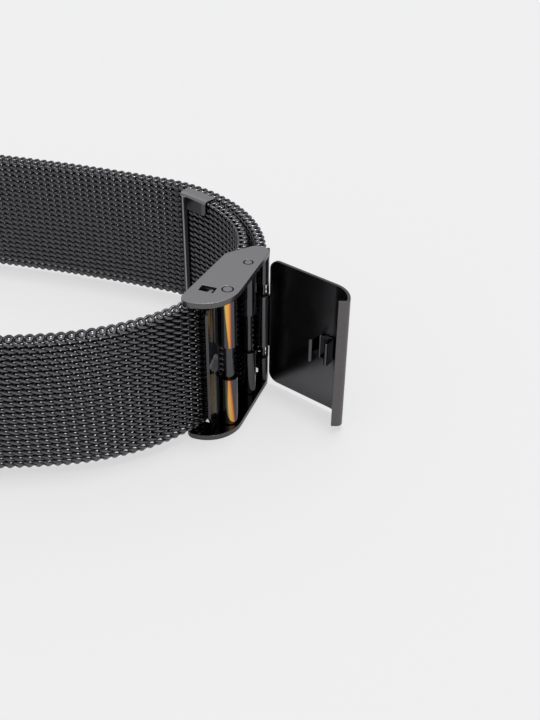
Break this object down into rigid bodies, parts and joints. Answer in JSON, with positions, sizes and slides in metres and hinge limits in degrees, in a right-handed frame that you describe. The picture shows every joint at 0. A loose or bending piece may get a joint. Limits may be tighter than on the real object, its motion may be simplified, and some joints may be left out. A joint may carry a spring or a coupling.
{
  "type": "milanese mesh watch band",
  "caption": "Woven wire mesh watch band standing on its edge, with a sliding clamp clasp, a hinged cover shown open and sprung pins for the lugs.",
  "frame": {"origin": "on the lower cheek's outer face, midway between the clasp's two cross pins", "axes": "+X out of the clasp away from the wrist and along the loop's length, +Y along the clasp to its hooked end, +Z across the band's width"},
  "size_m": [0.0986, 0.0561, 0.022],
  "materials": {
    "satin_steel": "satin grey steel, fine brushed",
    "pin_steel": "turned steel",
    "black_plate": "polished black plating on steel",
    "black_mesh": "black plated woven steel wire",
    "spring_steel": "drawn spring steel"
  },
  "bodies": {
    "frame": {"lower_cheek": "satin_steel", "upper_cheek": "satin_steel", "base_plate": "black_plate", "latch_pin": "pin_steel", "hook_pin": "pin_steel", "long_mesh_clasp": "black_mesh", "tail_end_cap": "black_plate"},
    "flap": {"locking_flap": "black_plate"},
    "bar": {"clamp_bar": "satin_steel"},
    "long_middle": {"long_mesh_middle": "black_mesh"},
    "long_end": {"long_mesh_end": "black_mesh", "long_lug_tube": "black_plate", "long_spring_bar_barrel": "pin_steel", "long_spring_bar_spring": "spring_steel"},
    "short_clasp": {"short_mesh_clasp": "black_mesh", "hook_leaf": "black_plate", "hinge_leaf": "black_plate", "cover_hinge_pin": "pin_steel"},
    "short_end": {"short_mesh_end": "black_mesh", "short_lug_tube": "black_plate", "short_spring_bar_barrel": "pin_steel", "short_spring_bar_spring": "spring_steel"},
    "cover": {"cover_plate": "black_plate", "cover_clip": "black_plate"},
    "long_upper_tip": {"long_upper_tip": "pin_steel"},
    "long_lower_tip": {"long_lower_tip": "pin_steel"},
    "short_upper_tip": {"short_upper_tip": "pin_steel"},
    "short_lower_tip": {"short_lower_tip": "pin_steel"}
  },
  "joints": [
    {"name": "flap_pivot", "type": "hinge", "parent": "frame", "child": "flap", "pos_m": [0.0013, -0.0036, 0.011], "axis": [0, 0, 1], "range_deg": [0, 75]},
    {"name": "bar_lift", "type": "slide", "parent": "frame", "child": "bar", "axis": [0.9622, -0.2723, 0], "range_m": [0, 0.0003]},
    {"name": "hook_pivot", "type": "hinge", "parent": "frame", "child": "short_clasp", "pos_m": [0.0013, 0.0036, 0.011], "axis": [0, 0, -1], "range_deg": [0, 25]},
    {"name": "cover_hinge", "type": "hinge", "parent": "short_clasp", "child": "cover", "pos_m": [0.00224, 0.00694, 0.011], "axis": [0, 0, 1], "range_deg": [-72, 30]},
    {"name": "long_flex_near", "type": "hinge", "parent": "frame", "child": "long_middle", "pos_m": [-0.00506, -0.01072, 0.011], "axis": [0, 0, -1], "range_deg": [-20, 8]},
    {"name": "long_flex_far", "type": "hinge", "parent": "long_middle", "child": "long_end", "pos_m": [-0.03425, -0.02702, 0.011], "axis": [0, 0, -1], "range_deg": [-20, 12]},
    {"name": "short_flex", "type": "hinge", "parent": "short_clasp", "child": "short_end", "pos_m": [-0.02051, 0.02399, 0.011], "axis": [0, 0, 1], "range_deg": [-20, 8]},
    {"name": "long_upper_tip_slide", "type": "slide", "parent": "long_end", "child": "long_upper_tip", "axis": [0, 0, -1], "range_m": [0, 0.001], "stiffness_N_per_m": 1000},
    {"name": "long_lower_tip_slide", "type": "slide", "parent": "long_end", "child": "long_lower_tip", "axis": [0, 0, 1], "range_m": [0, 0.001], "stiffness_N_per_m": 1000},
    {"name": "short_upper_tip_slide", "type": "slide", "parent": "short_end", "child": "short_upper_tip", "axis": [0, 0, -1], "range_m": [0, 0.001], "stiffness_N_per_m": 1000},
    {"name": "short_lower_tip_slide", "type": "slide", "parent": "short_end", "child": "short_lower_tip", "axis": [0, 0, 1], "range_m": [0, 0.001], "stiffness_N_per_m": 1000}
  ],
  "couplings": [
    {"joint": "flap_pivot", "follows": "bar_lift", "rad_per_m": 4363.3}
  ]
}
